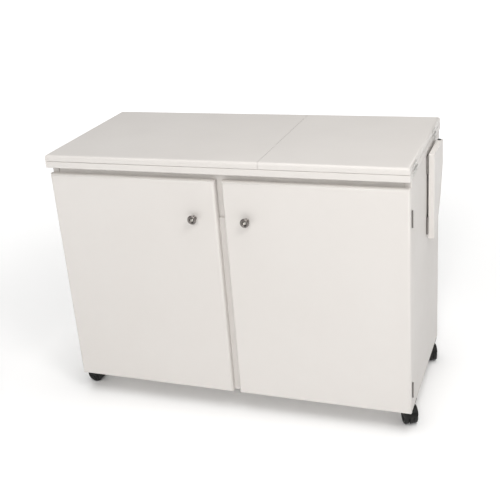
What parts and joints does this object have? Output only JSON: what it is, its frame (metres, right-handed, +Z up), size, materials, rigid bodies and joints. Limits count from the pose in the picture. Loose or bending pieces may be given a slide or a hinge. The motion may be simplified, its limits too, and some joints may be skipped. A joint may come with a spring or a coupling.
{
  "type": "sewing cabinet",
  "caption": "Closed white sewing cabinet on casters: folding two-leaf lid, overlay doors, swing-out lid supports at the sides and a machine lift inside.",
  "frame": {"origin": "centre of the bounding box's bottom face, on the floor", "axes": "+Z up, front with the doors faces -Y, +X to the right seen from the front"},
  "size_m": [1.052, 0.49, 0.762],
  "materials": {
    "white_laminate": "smooth satin warm-white laminate over board, rounded edges",
    "hinge_steel": "plain zinc-plated steel butt hinge",
    "knob_metal": "satin nickel turned knob",
    "bumper_rubber": "matte black rubber",
    "caster_steel": "black stamped steel plate",
    "caster_black": "black moulded nylon hood",
    "wheel_black": "black moulded nylon twin wheel",
    "lift_steel": "zinc-plated folded steel",
    "cylinder_black": "gloss black painted tube",
    "rod_chrome": "polished rod"
  },
  "bodies": {
    "cabinet": {"back_panel": "white_laminate", "bottom_panel": "white_laminate", "deck_panel": "white_laminate", "front_apron": "white_laminate", "front_left_caster_plate": "caster_steel", "front_right_caster_plate": "caster_steel", "gas_cylinder": "cylinder_black", "left_door_lower_hinge_fixed_leaf": "hinge_steel", "left_door_upper_hinge_fixed_leaf": "hinge_steel", "left_lid_front_hinge_fixed_leaf": "hinge_steel", "left_lid_rear_hinge_fixed_leaf": "hinge_steel", "left_lift_rail": "lift_steel", "left_side_panel": "white_laminate", "left_wing_lower_hinge_fixed_leaf": "hinge_steel", "left_wing_upper_hinge_fixed_leaf": "hinge_steel", "lift_partition": "white_laminate", "rear_left_caster_plate": "caster_steel", "rear_right_caster_plate": "caster_steel", "right_door_lower_hinge_fixed_leaf": "hinge_steel", "right_door_upper_hinge_fixed_leaf": "hinge_steel", "right_lid_front_hinge_fixed_leaf": "hinge_steel", "right_lid_rear_hinge_fixed_leaf": "hinge_steel", "right_lift_rail": "lift_steel", "right_side_panel": "white_laminate", "right_wing_lower_hinge_fixed_leaf": "hinge_steel", "right_wing_upper_hinge_fixed_leaf": "hinge_steel"},
    "front_left_swivel_body": {"front_left_caster_hood": "caster_black"},
    "front_left_wheel_body": {"front_left_caster_wheels": "wheel_black"},
    "front_right_swivel_body": {"front_right_caster_hood": "caster_black"},
    "front_right_wheel_body": {"front_right_caster_wheels": "wheel_black"},
    "lift_body": {"gas_rod": "rod_chrome", "lift_carriage": "lift_steel", "lift_platform": "white_laminate"},
    "left_door_body": {"left_door": "white_laminate", "left_door_batten": "white_laminate", "left_door_knob": "knob_metal", "left_door_lower_hinge_moving_leaf": "hinge_steel", "left_door_upper_hinge_moving_leaf": "hinge_steel"},
    "left_lid_body": {"left_lid_front_hinge_moving_leaf": "hinge_steel", "left_lid_leaf": "white_laminate", "left_lid_rear_hinge_moving_leaf": "hinge_steel"},
    "left_wing_body": {"left_support_wing": "white_laminate", "left_wing_bumper": "bumper_rubber", "left_wing_lower_hinge_moving_leaf": "hinge_steel", "left_wing_upper_hinge_moving_leaf": "hinge_steel"},
    "rear_left_swivel_body": {"rear_left_caster_hood": "caster_black"},
    "rear_left_wheel_body": {"rear_left_caster_wheels": "wheel_black"},
    "rear_right_swivel_body": {"rear_right_caster_hood": "caster_black"},
    "rear_right_wheel_body": {"rear_right_caster_wheels": "wheel_black"},
    "right_door_body": {"right_door": "white_laminate", "right_door_knob": "knob_metal", "right_door_lower_hinge_moving_leaf": "hinge_steel", "right_door_upper_hinge_moving_leaf": "hinge_steel"},
    "right_lid_body": {"right_lid_front_hinge_moving_leaf": "hinge_steel", "right_lid_leaf": "white_laminate", "right_lid_rear_hinge_moving_leaf": "hinge_steel"},
    "right_wing_body": {"right_support_wing": "white_laminate", "right_wing_bumper": "bumper_rubber", "right_wing_lower_hinge_moving_leaf": "hinge_steel", "right_wing_upper_hinge_moving_leaf": "hinge_steel"}
  },
  "joints": [
    {"name": "left_door_hinge", "type": "hinge", "parent": "cabinet", "child": "left_door_body", "pos_m": [-0.5069, -0.2025, 0.3845], "axis": [0, 0, -1], "range_deg": [0, 180]},
    {"name": "left_lid_hinge", "type": "hinge", "parent": "cabinet", "child": "left_lid_body", "pos_m": [-0.5129, 0, 0.743], "axis": [0, -1, 0], "range_deg": [0, 180]},
    {"name": "left_wing_hinge", "type": "hinge", "parent": "cabinet", "child": "left_wing_body", "pos_m": [-0.5075, 0.0153, 0.6], "axis": [0, 0, 1], "range_deg": [0, 90]},
    {"name": "right_door_hinge", "type": "hinge", "parent": "cabinet", "child": "right_door_body", "pos_m": [0.5069, -0.2025, 0.3845], "axis": [0, 0, 1], "range_deg": [0, 180]},
    {"name": "right_lid_hinge", "type": "hinge", "parent": "cabinet", "child": "right_lid_body", "pos_m": [0.5079, 0, 0.743], "axis": [0, 1, 0], "range_deg": [0, 180]},
    {"name": "right_wing_hinge", "type": "hinge", "parent": "cabinet", "child": "right_wing_body", "pos_m": [0.5075, 0.0153, 0.6], "axis": [0, 0, -1], "range_deg": [0, 90]},
    {"name": "lift_slide", "type": "slide", "parent": "cabinet", "child": "lift_body", "axis": [0, 0, 1], "range_m": [0, 0.29]},
    {"name": "front_left_caster_swivel", "type": "hinge", "parent": "cabinet", "child": "front_left_swivel_body", "pos_m": [-0.4832, -0.1515, 0.05], "axis": [0, 0, 1], "continuous": true},
    {"name": "front_left_wheel_roll", "type": "hinge", "parent": "front_left_swivel_body", "child": "front_left_wheel_body", "pos_m": [-0.4987, -0.1515, 0.025], "axis": [0, -1, 0], "continuous": true},
    {"name": "front_right_caster_swivel", "type": "hinge", "parent": "cabinet", "child": "front_right_swivel_body", "pos_m": [0.4832, -0.1515, 0.05], "axis": [0, 0, 1], "continuous": true},
    {"name": "front_right_wheel_roll", "type": "hinge", "parent": "front_right_swivel_body", "child": "front_right_wheel_body", "pos_m": [0.49, -0.16543, 0.025], "axis": [0.8988, 0.4384, 0], "continuous": true},
    {"name": "rear_left_caster_swivel", "type": "hinge", "parent": "cabinet", "child": "rear_left_swivel_body", "pos_m": [-0.4832, 0.2, 0.05], "axis": [0, 0, 1], "continuous": true},
    {"name": "rear_left_wheel_roll", "type": "hinge", "parent": "rear_left_swivel_body", "child": "rear_left_wheel_body", "pos_m": [-0.48051, 0.21527, 0.025], "axis": [-0.9848, 0.1736, 0], "continuous": true},
    {"name": "rear_right_caster_swivel", "type": "hinge", "parent": "cabinet", "child": "rear_right_swivel_body", "pos_m": [0.4832, 0.2, 0.05], "axis": [0, 0, 1], "continuous": true},
    {"name": "rear_right_wheel_roll", "type": "hinge", "parent": "rear_right_swivel_body", "child": "rear_right_wheel_body", "pos_m": [0.48901, 0.18563, 0.025], "axis": [0.9272, 0.3746, 0], "continuous": true}
  ]
}
